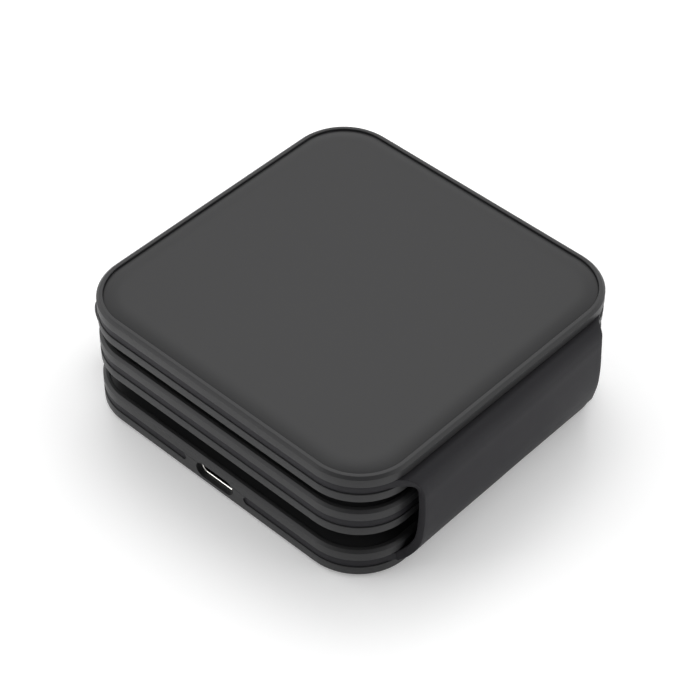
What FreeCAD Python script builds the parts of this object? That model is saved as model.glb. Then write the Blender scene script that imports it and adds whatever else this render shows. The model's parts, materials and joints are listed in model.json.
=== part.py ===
import FreeCAD, Part
import math
import os
import re
import Sketcher

from FreeCAD import Placement, Rotation, Vector

# Folding charger: three rounded-square pads joined by silicone straps, stacked shut.
# The bottom pad is the middle of the opened row: the middle pad folds over it on the
# short strap, and the top pad folds over both on the long strap.
# Frame: origin on the table under the middle of the stack, +Z up, -Y the side
# with the socket, +X the side with the long strap, -X the side with the short one.
# Every pad is drawn with its back at z = 0 and its charging face upwards.

doc = FreeCAD.newDocument("folding_charger")
sheet = doc.addObject("Spreadsheet::Sheet", "Sizes")

SIZES = {
    # pad outline and the levels up through a pad
    "pad_width": 70.0, "corner_radius": 11.0, "pad_thickness": 6.5,
    "band_thickness": 1.75, "band_recess": 0.22, "band_depth": 2.6,
    "rim_step": 0.1, "rim_chamfer": 0.5, "rim_width": 1.2, "panel_seat": 0.8,
    "panel_gap": 0.15, "floor_thickness": 0.8, "wall_thickness": 1.8,
    # where the backs of the pads lie in the stack
    "middle_back": 16.8, "top_back": 25.1,
    # shell screws and their bosses
    "screw_offset": 28.0, "boss_radius": 2.2, "post_radius": 1.8, "split_level": 3.25,
    "head_radius": 1.4, "head_height": 0.75, "shank_radius": 0.6, "shank_length": 2.6,
    "screw_play": 0.03,
    # straps
    "strap_thickness": 1.6, "strap_width": 48.0, "spine_centre": 37.9,
    "lower_hinge_inset": 0.75, "upper_hinge_inset": 0.34, "hinge_gap": 0.8, "stub_end": 36.6,
    "loop_straight": 1.0, "loop_gap": 0.3,
    "flex_width": 10.0, "flex_offset": 16.5, "flex_thickness": 0.2, "flex_level": 2.95,
    "flex_inner": 22.5,
    # phone coil stack, from the face shell inwards
    "coil_thickness": 0.8, "ferrite_thickness": 0.6, "shield_thickness": 0.25,
    "phone_coil_inner": 10.0, "phone_coil_outer": 22.0, "phone_ferrite_radius": 23.0,
    "magnet_inner": 23.6, "magnet_outer": 27.4, "shield_radius": 28.0,
    "earbud_coil_inner": 6.0, "earbud_coil_outer": 15.5, "earbud_ferrite_radius": 17.0,
    "ring_height": 0.5, "ring_width": 1.6, "phone_ring_radius": 27.5, "earbud_ring_radius": 21.0,
    "pin_magnet_radius": 2.0, "pin_magnet_offset": 21.0,
    # watch puck on the bottom pad
    "puck_radius": 14.0, "puck_top": 9.4, "puck_wall": 1.4, "flange_radius": 16.0,
    "puck_play": 0.1, "cap_thickness": 0.8, "ledge_width": 0.8, "ledge_thickness": 0.4,
    "base_top": 6.0, "watch_ferrite_top": 7.2, "watch_coil_top": 8.1,
    "watch_coil_inner": 5.2, "watch_coil_outer": 11.4, "watch_magnet_radius": 4.2,
    # socket and main board
    "socket_level": 3.0, "socket_width": 8.94, "socket_height": 3.16, "socket_wall": 0.3,
    "socket_length": 7.35, "socket_recess": 1.1, "socket_play": 0.04, "port_half": 7.1,
    "tongue_width": 6.69, "tongue_thickness": 0.7, "tongue_length": 4.45, "tongue_root": 1.2,
    "contact_pitch": 0.5, "contact_width": 0.25, "contact_height": 0.08, "contact_length": 3.4,
    "board_thickness": 0.8, "board_level": 1.9, "board_half": 24.0, "board_front": 31.4,
    "board_back": 18.0, "board_screw_x": 20.0, "board_screw_y": 23.0,
    "small_board_width": 9.0,
}
for row, (alias, amount) in enumerate(SIZES.items(), start=1):
    sheet.set(f"A{row}", alias)
    sheet.set(f"B{row}", str(amount))
    sheet.setAlias(f"B{row}", alias)
doc.recompute()

UPRIGHT = Rotation()
OVER = Rotation(Vector(1, 0, 0), 180)
# pad name: (level of its back, which way up it lies)
PADS = {
    "bottom": ("0", UPRIGHT),
    "middle": ("middle_back", OVER),
    "top": ("top_back", OVER),
}
parts = {}


def bound(text):
    """An expression on the sheet's cells, from one on their plain names."""
    return re.sub(r"[a-z]\w*", lambda word: "Sizes." + word.group(), text)


def size(text):
    """The present value of such an expression."""
    return float(doc.Sizes.evalExpression(bound(text)))


def keep(piece, label, pad="bottom"):
    """Name a finished sub-part and lay it at its pad's level."""
    level, turn = PADS[pad]
    piece.Label = label
    piece.Placement = Placement(Vector(0, 0, size(level)), turn)
    if level != "0":
        piece.setExpression("Placement.Base.z", bound(level))
    parts[label] = piece
    return piece


def new_body(name):
    return doc.addObject("PartDesign::Body", name)


def new_sketch(body, plane, level="0"):
    """A sketch on one of the body's own planes, lifted along its normal."""
    count = len(body.Group)
    sketch = body.newObject("Sketcher::SketchObject", f"{body.Name}_sketch{count}")
    planes = {item.Role: item for item in body.Origin.OriginFeatures}
    sketch.AttachmentSupport = [(planes[plane + "_Plane"], "")]
    sketch.MapMode = "FlatFace"
    sketch.setExpression("AttachmentOffset.Base.z", bound(level))
    return sketch


def bind(sketch, kind, *where, to):
    """A dimension in the sketch that follows the sheet."""
    index = sketch.addConstraint(Sketcher.Constraint(kind, *where, size(to)))
    sketch.setExpression(f"Constraints[{index}]", bound(to))


def draw_circle(sketch, radius, x="0", y="0"):
    centre = Vector(size(x), size(y), 0)
    edge = sketch.addGeometry(Part.Circle(centre, Vector(0, 0, 1), size(radius)))
    bind(sketch, "Radius", edge, to=radius)
    bind(sketch, "DistanceX", -1, 1, edge, 3, to=x)
    bind(sketch, "DistanceY", -1, 1, edge, 3, to=y)


def draw_box(sketch, left, right, low, high):
    """A rectangle between two x and two y values."""
    xs = [size(left), size(right)]
    ys = [size(low), size(high)]
    corners = [(xs[0], ys[0]), (xs[1], ys[0]), (xs[1], ys[1]), (xs[0], ys[1])]
    points = [Vector(x, y, 0) for x, y in corners]
    sides = [sketch.addGeometry(Part.LineSegment(points[i], points[(i + 1) % 4])) for i in range(4)]
    for i in range(4):
        sketch.addConstraint(Sketcher.Constraint("Coincident", sides[i], 2, sides[(i + 1) % 4], 1))
        sketch.addConstraint(Sketcher.Constraint(("Horizontal", "Vertical")[i % 2], sides[i]))
    bind(sketch, "DistanceX", -1, 1, sides[0], 1, to=left)
    bind(sketch, "DistanceX", -1, 1, sides[0], 2, to=right)
    bind(sketch, "DistanceY", -1, 1, sides[0], 1, to=low)
    bind(sketch, "DistanceY", -1, 1, sides[2], 1, to=high)


def draw_rounded(sketch, half_x, half_y, radius, x="0", y="0"):
    """A rounded rectangle about (x, y): four sides and four tangent corners."""
    hx, hy, r, cx, cy = (size(text) for text in (half_x, half_y, radius, x, y))
    up = Vector(0, 0, 1)
    turns = [(1, -1), (1, 1), (-1, 1), (-1, -1)]
    ends = []
    for k, (sx, sy) in enumerate(turns):
        centre = Vector(cx + sx * (hx - r), cy + sy * (hy - r), 0)
        start = math.radians(-90 + 90 * k)
        arc = Part.ArcOfCircle(Part.Circle(centre, up, r), start, start + math.pi / 2)
        ends.append((sketch.addGeometry(arc), arc))
    sides = []
    for k in range(4):
        arc, following = ends[k][1], ends[(k + 1) % 4][1]
        sides.append(sketch.addGeometry(Part.LineSegment(arc.EndPoint, following.StartPoint)))
    for k in range(4):
        arc, side, following = ends[k][0], sides[k], ends[(k + 1) % 4][0]
        sketch.addConstraint(Sketcher.Constraint("Tangent", arc, 2, side, 1))
        sketch.addConstraint(Sketcher.Constraint("Tangent", side, 2, following, 1))
        sketch.addConstraint(Sketcher.Constraint(("Vertical", "Horizontal")[k % 2], side))
        if k:
            sketch.addConstraint(Sketcher.Constraint("Equal", ends[0][0], arc))
    bind(sketch, "Radius", ends[0][0], to=radius)
    bind(sketch, "DistanceX", -1, 1, sides[0], 1, to=f"{x} + {half_x}")
    bind(sketch, "DistanceY", -1, 1, sides[1], 1, to=f"{y} + {half_y}")
    bind(sketch, "DistanceX", -1, 1, sides[2], 1, to=f"{x} - ({half_x})")
    bind(sketch, "DistanceY", -1, 1, sides[3], 1, to=f"{y} - ({half_y})")


def draw_pad_outline(sketch, inset="0"):
    draw_rounded(sketch, f"pad_width / 2 - ({inset})", f"pad_width / 2 - ({inset})",
                 f"corner_radius - ({inset})")


def extrude(body, sketch, length, cut=False):
    """Pad the sketch, or pocket it, along its own normal."""
    before = 0.0
    if cut:
        doc.recompute()
        before = body.Shape.Volume
    kind = "Pocket" if cut else "Pad"
    feature = body.newObject(f"PartDesign::{kind}", f"{body.Name}_{kind.lower()}{len(body.Group)}")
    feature.Profile = sketch
    feature.setExpression("Length", bound(length))
    feature.Reversed = cut
    doc.recompute()
    if cut and not body.Shape.Volume < before - 1e-6:
        raise RuntimeError(f"{body.Name}: a pocket cuts nothing")
    return feature


def slab(name, draw, low, height):
    """A body of one pad: draw(sketch) pushed up from a level."""
    body = new_body(name)
    sketch = new_sketch(body, "XY", low)
    draw(sketch)
    extrude(body, sketch, height)
    return body


def carve(body, draw, low, height, plane="XY"):
    sketch = new_sketch(body, plane, low)
    draw(sketch)
    extrude(body, sketch, height, cut=True)


def build_up(body, draw, low, height, plane="XY"):
    sketch = new_sketch(body, plane, low)
    draw(sketch)
    extrude(body, sketch, height)


def chamfer_rim(body, level, inset, amount):
    """Chamfer the outline at one level, taken where it lies `inset` inside the pad."""
    doc.recompute()
    z, reach = size(level), size(f"pad_width / 2 - ({inset})")
    names = []
    for number, edge in enumerate(body.Shape.Edges, start=1):
        box = edge.BoundBox
        flat = abs(box.ZMin - z) < 1e-4 and abs(box.ZMax - z) < 1e-4
        far = max(abs(box.XMin), abs(box.XMax), abs(box.YMin), abs(box.YMax))
        if flat and abs(far - reach) < 1e-3:
            names.append(f"Edge{number}")
    base = body.Tip
    feature = body.newObject("PartDesign::Chamfer", f"{body.Name}_chamfer")
    feature.Base = (base, names)
    feature.setExpression("Size", bound(amount))
    doc.recompute()


def corner_points():
    return [(sx, sy) for sx in ("", "-") for sy in ("", "-")]


def signed(sign, text):
    return f"{sign}{text}" if sign else text


# ---- shells, panels, bands and screws, the same on every pad -------------------

FACE_FLOOR = "pad_thickness - panel_seat - floor_thickness"
BACK_FLOOR = "panel_seat"
CAVITY_LOW = "panel_seat + floor_thickness"
BAND_LOW = "(pad_thickness - band_thickness) / 2"
BAND_HIGH = "(pad_thickness + band_thickness) / 2"
SOCKET_MOUTH = "pad_width / 2 - socket_recess"
SOCKET_BACK = f"{SOCKET_MOUTH} - socket_length"


def draw_port(sketch, grow="0"):
    """The socket's rounded slot, on the XZ plane."""
    draw_rounded(sketch, f"socket_width / 2 + {grow}", f"socket_height / 2 + {grow}",
                 f"socket_height / 2 + {grow} - 0.001", y="socket_level")


def cut_port(body):
    """Open the socket's slot through the front wall."""
    carve(body, lambda s: draw_port(s, "socket_play"), "pad_width / 2 - wall_thickness - 0.5",
          "wall_thickness + 1", plane="XZ")


def back_shell(pad):
    """The outer tray: rim, seat for the back panel, floor, wall and screw bosses."""
    body = slab(f"{pad}_back_shell", draw_pad_outline, "rim_step", f"{BAND_LOW} - rim_step")
    chamfer_rim(body, "rim_step", "0", "rim_chamfer")
    carve(body, lambda s: draw_pad_outline(s, "rim_width"), "rim_step", "panel_seat - rim_step")
    carve(body, lambda s: draw_pad_outline(s, "wall_thickness"), CAVITY_LOW, "pad_thickness")
    for sx, sy in corner_points():
        x, y = signed(sx, "screw_offset"), signed(sy, "screw_offset")
        build_up(body, lambda s: draw_circle(s, "boss_radius", x, y), CAVITY_LOW,
                 f"split_level - ({CAVITY_LOW})")
        carve(body, lambda s: draw_circle(s, "shank_radius + 0.2", x, y), BACK_FLOOR, "split_level")
        carve(body, lambda s: draw_circle(s, "head_radius + 0.1", x, y), BACK_FLOOR,
              "head_height + 0.1")
    if pad == "bottom":
        # the block that breaks the silicone band around the socket
        build_up(body, lambda s: draw_box(s, "-port_half", "port_half", "-pad_width / 2",
                                          "-pad_width / 2 + wall_thickness"),
                 BAND_LOW, "band_thickness")
        cut_port(body)
        # a shallow bed in the floor for the underside of the socket
        carve(body, lambda s: draw_box(s, "-socket_width / 2 - 0.1", "socket_width / 2 + 0.1",
                                       f"-({SOCKET_MOUTH}) - 0.1", f"-({SOCKET_BACK}) + 0.1"),
              "socket_level - socket_height / 2 - socket_play", "0.5")
        for sign in ("", "-"):
            x = signed(sign, "board_screw_x")
            build_up(body, lambda s: draw_circle(s, "1.5", x, "-board_screw_y"), CAVITY_LOW,
                     f"board_level - ({CAVITY_LOW})")
            carve(body, lambda s: draw_circle(s, "0.5 + screw_play", x, "-board_screw_y"),
                  "panel_seat + 0.2", "pad_thickness")
    keep(body, f"{pad}_back_shell", pad)


def face_shell(pad):
    """The inner tray, with posts that take the screws."""
    top = "pad_thickness - rim_step"
    body = slab(f"{pad}_face_shell", draw_pad_outline, BAND_HIGH, f"{top} - ({BAND_HIGH})")
    chamfer_rim(body, top, "0", "rim_chamfer")
    carve(body, lambda s: draw_pad_outline(s, "rim_width"), "pad_thickness - panel_seat",
          "panel_seat")
    carve(body, lambda s: draw_pad_outline(s, "wall_thickness"), BAND_HIGH,
          f"{FACE_FLOOR} - ({BAND_HIGH})")
    for sx, sy in corner_points():
        x, y = signed(sx, "screw_offset"), signed(sy, "screw_offset")
        build_up(body, lambda s: draw_circle(s, "post_radius", x, y), "split_level",
                 f"{FACE_FLOOR} - split_level")
        carve(body, lambda s: draw_circle(s, "shank_radius + screw_play", x, y), "split_level",
              f"{FACE_FLOOR} - split_level")
    if pad == "bottom":
        carve(body, lambda s: draw_circle(s, "puck_radius + puck_play"), FACE_FLOOR,
              "floor_thickness")
        cut_port(body)
    keep(body, f"{pad}_face_shell", pad)


def panel(pad, side):
    """A thin plate bonded into the seat inside the rim."""
    low = "0" if side == "back" else "pad_thickness - panel_seat"
    outer = "0" if side == "back" else "pad_thickness"
    body = slab(f"{pad}_{side}_panel", lambda s: draw_pad_outline(s, "rim_width + panel_gap"),
                low, "panel_seat")
    chamfer_rim(body, outer, "rim_width + panel_gap", "panel_gap")
    if pad == "bottom" and side == "face":
        carve(body, lambda s: draw_circle(s, "puck_radius + puck_play"), low, "panel_seat")
    keep(body, f"{pad}_{side}_panel", pad)


def draw_strip(sketch, near, far):
    """A strap stub, seen from above, between two x values."""
    draw_box(sketch, near, far, "-strap_width / 2", "strap_width / 2")


STUB_LOW = "(pad_thickness - strap_thickness) / 2"


def flex_edges(pad):
    """The two y values of a ribbon cable; they match across the straps when shut."""
    side = "-flex_offset" if pad == "bottom" else "flex_offset"
    return f"{side} - flex_width / 2", f"{side} + flex_width / 2"


def cut_flex_slot(body, pad, near, far):
    carve(body, lambda s: draw_box(s, near, far, *flex_edges(pad)), "flex_level",
          "flex_thickness")


def silicone_frame(pad):
    """The silicone band clamped between the shells, with the straps' root stubs."""
    body = slab(f"{pad}_silicone_frame", lambda s: draw_pad_outline(s, "band_recess"), BAND_LOW,
                "band_thickness")
    carve(body, lambda s: draw_pad_outline(s, "band_recess + band_depth"), BAND_LOW,
          "band_thickness")
    inner = "pad_width / 2 - band_recess - 1"
    if pad != "middle":
        build_up(body, lambda s: draw_strip(s, inner, "stub_end"), STUB_LOW, "strap_thickness")
        cut_flex_slot(body, pad, "flex_inner", "stub_end")
    if pad != "top":
        build_up(body, lambda s: draw_strip(s, "-pad_width / 2 - loop_straight", f"-({inner})"),
                 STUB_LOW, "strap_thickness")
        cut_flex_slot(body, pad, "-pad_width / 2 - loop_straight", "-flex_inner")
    if pad == "bottom":
        reach = "port_half + screw_play"
        carve(body, lambda s: draw_box(s, f"-({reach})", reach, "-pad_width / 2",
                                       "-pad_width / 2 + band_depth + 1"),
              BAND_LOW, "band_thickness")
    keep(body, f"{pad}_silicone_frame", pad)


def cylinder(name, radius, low, height, x="0", y="0"):
    piece = doc.addObject("Part::Cylinder", name)
    piece.setExpression("Radius", bound(radius))
    piece.setExpression("Height", bound(height))
    piece.setExpression("Placement.Base.x", bound(x))
    piece.setExpression("Placement.Base.y", bound(y))
    piece.setExpression("Placement.Base.z", bound(low))
    return piece


def block(name, left, right, front, back, low, height):
    piece = doc.addObject("Part::Box", name)
    piece.setExpression("Length", bound(f"{right} - ({left})"))
    piece.setExpression("Width", bound(f"{back} - ({front})"))
    piece.setExpression("Height", bound(height))
    piece.setExpression("Placement.Base.x", bound(left))
    piece.setExpression("Placement.Base.y", bound(front))
    piece.setExpression("Placement.Base.z", bound(low))
    return piece


def group(label, pieces, pad="bottom"):
    """Several separate solids kept as one node."""
    compound = doc.addObject("Part::Compound", label)
    compound.Links = pieces
    return keep(compound, label, pad)


def screw(name, x, y, low, head_radius, head_height, shank_radius, shank_length, head_up):
    """A pan-headed screw; its head is at the bottom, or at the top when head_up."""
    shank_low, head_low = (f"{low} + {head_height}", low)
    if head_up:
        shank_low, head_low = (f"{low} - {shank_length}", low)
    head = cylinder(f"{name}_head", head_radius, head_low, head_height, x, y)
    shank = cylinder(f"{name}_shank", shank_radius, shank_low, shank_length, x, y)
    whole = doc.addObject("Part::Fuse", name)
    whole.Base, whole.Tool = head, shank
    return whole


def shell_screws(pad):
    screws = []
    for number, (sx, sy) in enumerate(corner_points(), start=1):
        x, y = signed(sx, "screw_offset"), signed(sy, "screw_offset")
        screws.append(screw(f"{pad}_screw{number}", x, y, "panel_seat + 0.1", "head_radius",
                            "head_height", "shank_radius", "shank_length", head_up=False))
    group(f"{pad}_screws", screws, pad)


# ---- round pieces: coils, ferrites, magnets, rings ------------------------------

def draw_ring(sketch, inner, outer):
    draw_circle(sketch, outer)
    draw_circle(sketch, inner)


def ring(label, pad, inner, outer, low, height):
    body = slab(label, lambda s: draw_ring(s, inner, outer), low, height)
    keep(body, label, pad)


def disc(label, pad, radius, low, height):
    body = slab(label, lambda s: draw_circle(s, radius), low, height)
    keep(body, label, pad)


COIL_LOW = f"{FACE_FLOOR} - coil_thickness"
FERRITE_LOW = f"{COIL_LOW} - ferrite_thickness"
FACE_TOP = "pad_thickness"


def phone_parts():
    ring("phone_coil", "top", "phone_coil_inner", "phone_coil_outer", COIL_LOW, "coil_thickness")
    disc("phone_ferrite", "top", "phone_ferrite_radius", FERRITE_LOW, "ferrite_thickness")
    disc("phone_shield", "top", "shield_radius", f"{FERRITE_LOW} - shield_thickness",
         "shield_thickness")
    ring("phone_grip_ring", "top", "phone_ring_radius - ring_width", "phone_ring_radius",
         FACE_TOP, "ring_height")
    magnet_ring("phone_magnets", "top", count=16, gap_degrees=1.2)
    small_board("phone_board", "top", "flex_inner", "flex_inner + small_board_width")


def magnet_ring(label, pad, count, gap_degrees):
    """Arc magnets side by side around the coil, all separate solids."""
    inner, outer = size("magnet_inner"), size("magnet_outer")
    low, height = size(FERRITE_LOW), size("coil_thickness + ferrite_thickness")
    pitch = 360.0 / count
    solids = []
    for k in range(count):
        tube = Part.makeCylinder(outer, height, Vector(0, 0, low), Vector(0, 0, 1),
                                 pitch - gap_degrees)
        hole = Part.makeCylinder(inner, height, Vector(0, 0, low), Vector(0, 0, 1), 360)
        segment = tube.cut(hole)
        segment.rotate(Vector(0, 0, 0), Vector(0, 0, 1), k * pitch)
        solids.append(segment)
    feature = doc.addObject("Part::Feature", label)
    feature.Shape = Part.makeCompound(solids)
    keep(feature, label, pad)


def small_board(label, pad, left, right):
    """A junction board on the floor of a pad, where the ribbon is soldered."""
    body = slab(label, lambda s: draw_box(s, left, right, *flex_edges(pad)), CAVITY_LOW,
                "board_thickness")
    keep(body, label, pad)


def earbud_parts():
    ring("earbud_coil", "middle", "earbud_coil_inner", "earbud_coil_outer", COIL_LOW,
         "coil_thickness")
    disc("earbud_ferrite", "middle", "earbud_ferrite_radius", FERRITE_LOW, "ferrite_thickness")
    ring("earbud_grip_ring", "middle", "earbud_ring_radius - ring_width", "earbud_ring_radius",
         FACE_TOP, "ring_height")
    pins = []
    for number, (sx, sy) in enumerate(corner_points(), start=1):
        x, y = signed(sx, "pin_magnet_offset"), signed(sy, "pin_magnet_offset")
        pins.append(cylinder(f"pin_magnet{number}", "pin_magnet_radius", COIL_LOW,
                             "coil_thickness", x, y))
    group("earbud_magnets", pins, "middle")
    small_board("earbud_board", "middle", "-flex_inner - small_board_width", "-flex_inner")


def watch_puck():
    """The raised round rest for a watch: housing, cap, coil, magnet and base plug."""
    body = slab("puck_housing", lambda s: draw_circle(s, "puck_radius"), FACE_FLOOR,
                f"puck_top - ({FACE_FLOOR})")
    build_up(body, lambda s: draw_circle(s, "flange_radius"), BAND_HIGH,
             f"{FACE_FLOOR} - ({BAND_HIGH})")
    carve(body, lambda s: draw_circle(s, "puck_radius - puck_wall"), BAND_HIGH,
          f"puck_top - cap_thickness - ledge_thickness - ({BAND_HIGH})")
    carve(body, lambda s: draw_circle(s, "puck_radius - puck_wall - ledge_width"), BAND_HIGH,
          "puck_top")
    carve(body, lambda s: draw_circle(s, "puck_radius - puck_wall"), "puck_top - cap_thickness",
          "cap_thickness")
    keep(body, "puck_housing")
    disc("puck_cap", "bottom", "puck_radius - puck_wall - screw_play", "puck_top - cap_thickness",
         "cap_thickness")
    disc("puck_base", "bottom", "puck_radius - puck_wall - screw_play", BAND_HIGH,
         f"base_top - ({BAND_HIGH})")
    disc("watch_ferrite", "bottom", "puck_radius - puck_wall - 0.4", "base_top",
         "watch_ferrite_top - base_top")
    ring("watch_coil", "bottom", "watch_coil_inner", "watch_coil_outer", "watch_ferrite_top",
         "watch_coil_top - watch_ferrite_top")
    disc("watch_magnet", "bottom", "watch_magnet_radius", "watch_ferrite_top",
         "puck_top - cap_thickness - watch_ferrite_top")


# ---- socket and main board --------------------------------------------------------

def usb_socket():
    """Drawn steel shell, moulded tongue and two rows of contacts."""
    shell = new_body("socket_shell")
    build_up(shell, draw_port, SOCKET_BACK, "socket_length", plane="XZ")
    carve(shell, lambda s: draw_port(s, "-socket_wall"), f"{SOCKET_BACK} + socket_wall",
          "socket_length", plane="XZ")
    keep(shell, "socket_shell")
    tongue = new_body("socket_tongue")
    build_up(tongue, lambda s: draw_port(s, "-socket_wall - screw_play"),
             f"{SOCKET_BACK} + socket_wall", "tongue_root", plane="XZ")
    build_up(tongue, lambda s: draw_rounded(s, "tongue_width / 2", "tongue_thickness / 2", "0.15",
                                            y="socket_level"),
             f"{SOCKET_BACK} + socket_wall + tongue_root", "tongue_length", plane="XZ")
    keep(tongue, "socket_tongue")
    contacts = []
    front = f"-({SOCKET_BACK} + socket_wall + tongue_root + contact_length)"
    for level in ("socket_level + tongue_thickness / 2",
                  "socket_level - tongue_thickness / 2 - contact_height"):
        for k in range(12):
            x = f"({k} - 5.5) * contact_pitch"
            contacts.append(block("contact", f"{x} - contact_width / 2",
                                  f"{x} + contact_width / 2", front,
                                  f"{front} + contact_length", level, "contact_height"))
    group("socket_contacts", contacts)


# board part: (x, y from the front edge, width, depth, height)
CHIPS = [(-14.0, 7.0, 5.0, 5.0, 0.9), (11.0, 8.0, 4.0, 4.0, 0.9), (0.0, 10.6, 3.0, 3.0, 0.8)]
INDUCTORS = [(-6.8, 8.6, 4.2, 4.2, 1.6), (17.6, 3.6, 4.2, 4.2, 1.6)]
CAPACITORS = [(x, y, 1.6, 0.8, 0.8) for x in (-20.0, -17.0, -9.0, 8.0, 12.5) for y in (2.2, 12.2)]


def on_board(label, rows):
    """Small components standing on the main board."""
    solids = []
    for number, (x, y, width, depth, height) in enumerate(rows, start=1):
        front = f"-board_front + {y} - {depth / 2}"
        solids.append(block(f"{label}{number}", f"{x - width / 2}", f"{x + width / 2}", front,
                            f"{front} + {depth}", "board_level + board_thickness", f"{height}"))
    group(label, solids)


def main_board():
    """The charger's circuit board, notched around the socket, and what stands on it."""
    body = slab("main_board", lambda s: draw_box(s, "-board_half", "board_half", "-board_front",
                                                 "-board_back"),
                "board_level", "board_thickness")
    carve(body, lambda s: draw_box(s, "-socket_width / 2 - 0.1", "socket_width / 2 + 0.1",
                                   "-board_front - 1", f"-({SOCKET_BACK}) + 0.1"),
          "board_level", "board_thickness")
    for sign in ("", "-"):
        x = signed(sign, "board_screw_x")
        carve(body, lambda s: draw_circle(s, "0.6", x, "-board_screw_y"), "board_level",
              "board_thickness")
    keep(body, "main_board")
    on_board("driver_chips", CHIPS)
    on_board("power_inductors", INDUCTORS)
    on_board("board_capacitors", CAPACITORS)
    screws = []
    for number, sign in enumerate(("", "-"), start=1):
        screws.append(screw(f"board_screw{number}", signed(sign, "board_screw_x"),
                            "-board_screw_y", "board_level + board_thickness", "1.1", "0.6",
                            "0.5", "1.6", head_up=True))
    group("board_screws", screws)


# ---- straps -----------------------------------------------------------------------

def long_strap():
    """The upright middle of the long strap, hinged to the stubs above and below it."""
    low = "pad_thickness / 2 + lower_hinge_inset + hinge_gap"
    high = "top_back - pad_thickness / 2 - upper_hinge_inset - hinge_gap"
    body = slab("long_strap", lambda s: draw_box(s, "spine_centre - strap_thickness / 2",
                                                 "spine_centre + strap_thickness / 2",
                                                 "-strap_width / 2", "strap_width / 2"),
                low, f"{high} - ({low})")
    carve(body, lambda s: draw_box(s, "spine_centre - flex_thickness / 2",
                                   "spine_centre + flex_thickness / 2",
                                   *flex_edges("bottom")),
          low, f"{high} - ({low})")
    keep(body, "long_strap")
    ribbon = block("long_strap_flex_strip", "spine_centre - flex_thickness / 2",
                   "spine_centre + flex_thickness / 2", *flex_edges("bottom"),
                   low, f"{high} - ({low})")
    group("long_strap_flex", [ribbon])


def pad_ribbon(label, pad, near, far):
    """A flat ribbon cable that runs from a board out into a strap's stub."""
    strip = block(f"{label}_strip", near, far, *flex_edges(pad), "flex_level", "flex_thickness")
    group(label, [strip], pad)


def short_strap_half(label, sign):
    """A quarter of the short strap's round loop; sign is +1 above and -1 below its middle."""
    loop_centre_x = -size("pad_width / 2 + loop_straight")
    top_level = size("middle_back - pad_thickness / 2")
    low_level = size("pad_thickness / 2")
    middle = (top_level + low_level) / 2
    radius = (top_level - low_level) / 2
    half = size("strap_thickness") / 2
    width = size("strap_width")
    gap = size("loop_gap") / 2
    start = Vector(loop_centre_x, -width / 2, middle)
    ring_solid = Part.makeCylinder(radius + half, width, start, Vector(0, 1, 0))
    ring_solid = ring_solid.cut(Part.makeCylinder(radius - half, width, start, Vector(0, 1, 0)))
    corner = Vector(loop_centre_x - 2 * radius, -width / 2, middle + gap)
    if sign < 0:
        corner.z = middle - gap - 2 * radius
    quarter = ring_solid.common(Part.makeBox(2 * radius, width, 2 * radius, corner))
    feature = doc.addObject("Part::Feature", label)
    feature.Shape = quarter.removeSplitter()
    parts[label] = feature
    feature.Label = label
    feature.Placement = Placement()


# ---- the whole charger ---------------------------------------------------------------

for pad_name in PADS:
    back_shell(pad_name)
    panel(pad_name, "back")
    silicone_frame(pad_name)
    face_shell(pad_name)
    panel(pad_name, "face")
    shell_screws(pad_name)
watch_puck()
usb_socket()
main_board()
phone_parts()
earbud_parts()
long_strap()
pad_ribbon("bottom_flex_right", "bottom", "flex_inner", "stub_end")
pad_ribbon("bottom_flex_left", "bottom", "-pad_width / 2 - loop_straight", "-flex_inner")
pad_ribbon("top_flex", "top", "flex_inner", "stub_end")
pad_ribbon("middle_flex", "middle", "-pad_width / 2 - loop_straight", "-flex_inner")
short_strap_half("short_strap_upper", 1)
short_strap_half("short_strap_lower", -1)
doc.recompute()

for item in doc.Objects:
    if "Invalid" in item.State or "Error" in item.State:
        raise RuntimeError(f"{item.Label} did not rebuild: {item.State}")
for label, piece in parts.items():
    if piece.Shape.isNull() or not piece.Shape.isValid():
        raise RuntimeError(f"{label} has no valid shape")

os.makedirs("parts", exist_ok=True)
for label, piece in parts.items():
    piece.Shape.exportStep(f"parts/{label}.step")
print(f"{len(parts)} sub-parts written")
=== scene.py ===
import bmesh
import bpy
import json
import math
from mathutils import Matrix, Vector


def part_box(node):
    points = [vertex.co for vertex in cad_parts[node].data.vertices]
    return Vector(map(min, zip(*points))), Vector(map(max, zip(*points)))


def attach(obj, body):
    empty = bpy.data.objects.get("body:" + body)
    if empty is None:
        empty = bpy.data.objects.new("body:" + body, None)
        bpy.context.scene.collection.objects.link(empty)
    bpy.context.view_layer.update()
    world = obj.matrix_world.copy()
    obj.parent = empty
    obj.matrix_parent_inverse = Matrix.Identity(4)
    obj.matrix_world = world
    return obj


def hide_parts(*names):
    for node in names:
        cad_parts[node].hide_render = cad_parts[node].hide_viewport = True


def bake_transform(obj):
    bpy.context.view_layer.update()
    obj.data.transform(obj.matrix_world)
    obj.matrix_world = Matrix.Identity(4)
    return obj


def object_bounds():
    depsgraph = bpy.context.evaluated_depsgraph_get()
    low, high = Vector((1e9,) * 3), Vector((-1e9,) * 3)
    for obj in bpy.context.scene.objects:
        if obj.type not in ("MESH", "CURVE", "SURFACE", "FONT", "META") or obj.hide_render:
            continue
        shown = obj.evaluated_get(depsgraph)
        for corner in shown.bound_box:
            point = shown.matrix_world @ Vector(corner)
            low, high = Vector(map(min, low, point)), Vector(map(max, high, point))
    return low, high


# A folding charger shut into a stack: three rounded-square pads, a silicone band
# between the two trays of each, a long strap on one side and a short one opposite.
# Lengths are worked in millimetres and written to the meshes in metres.

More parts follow.
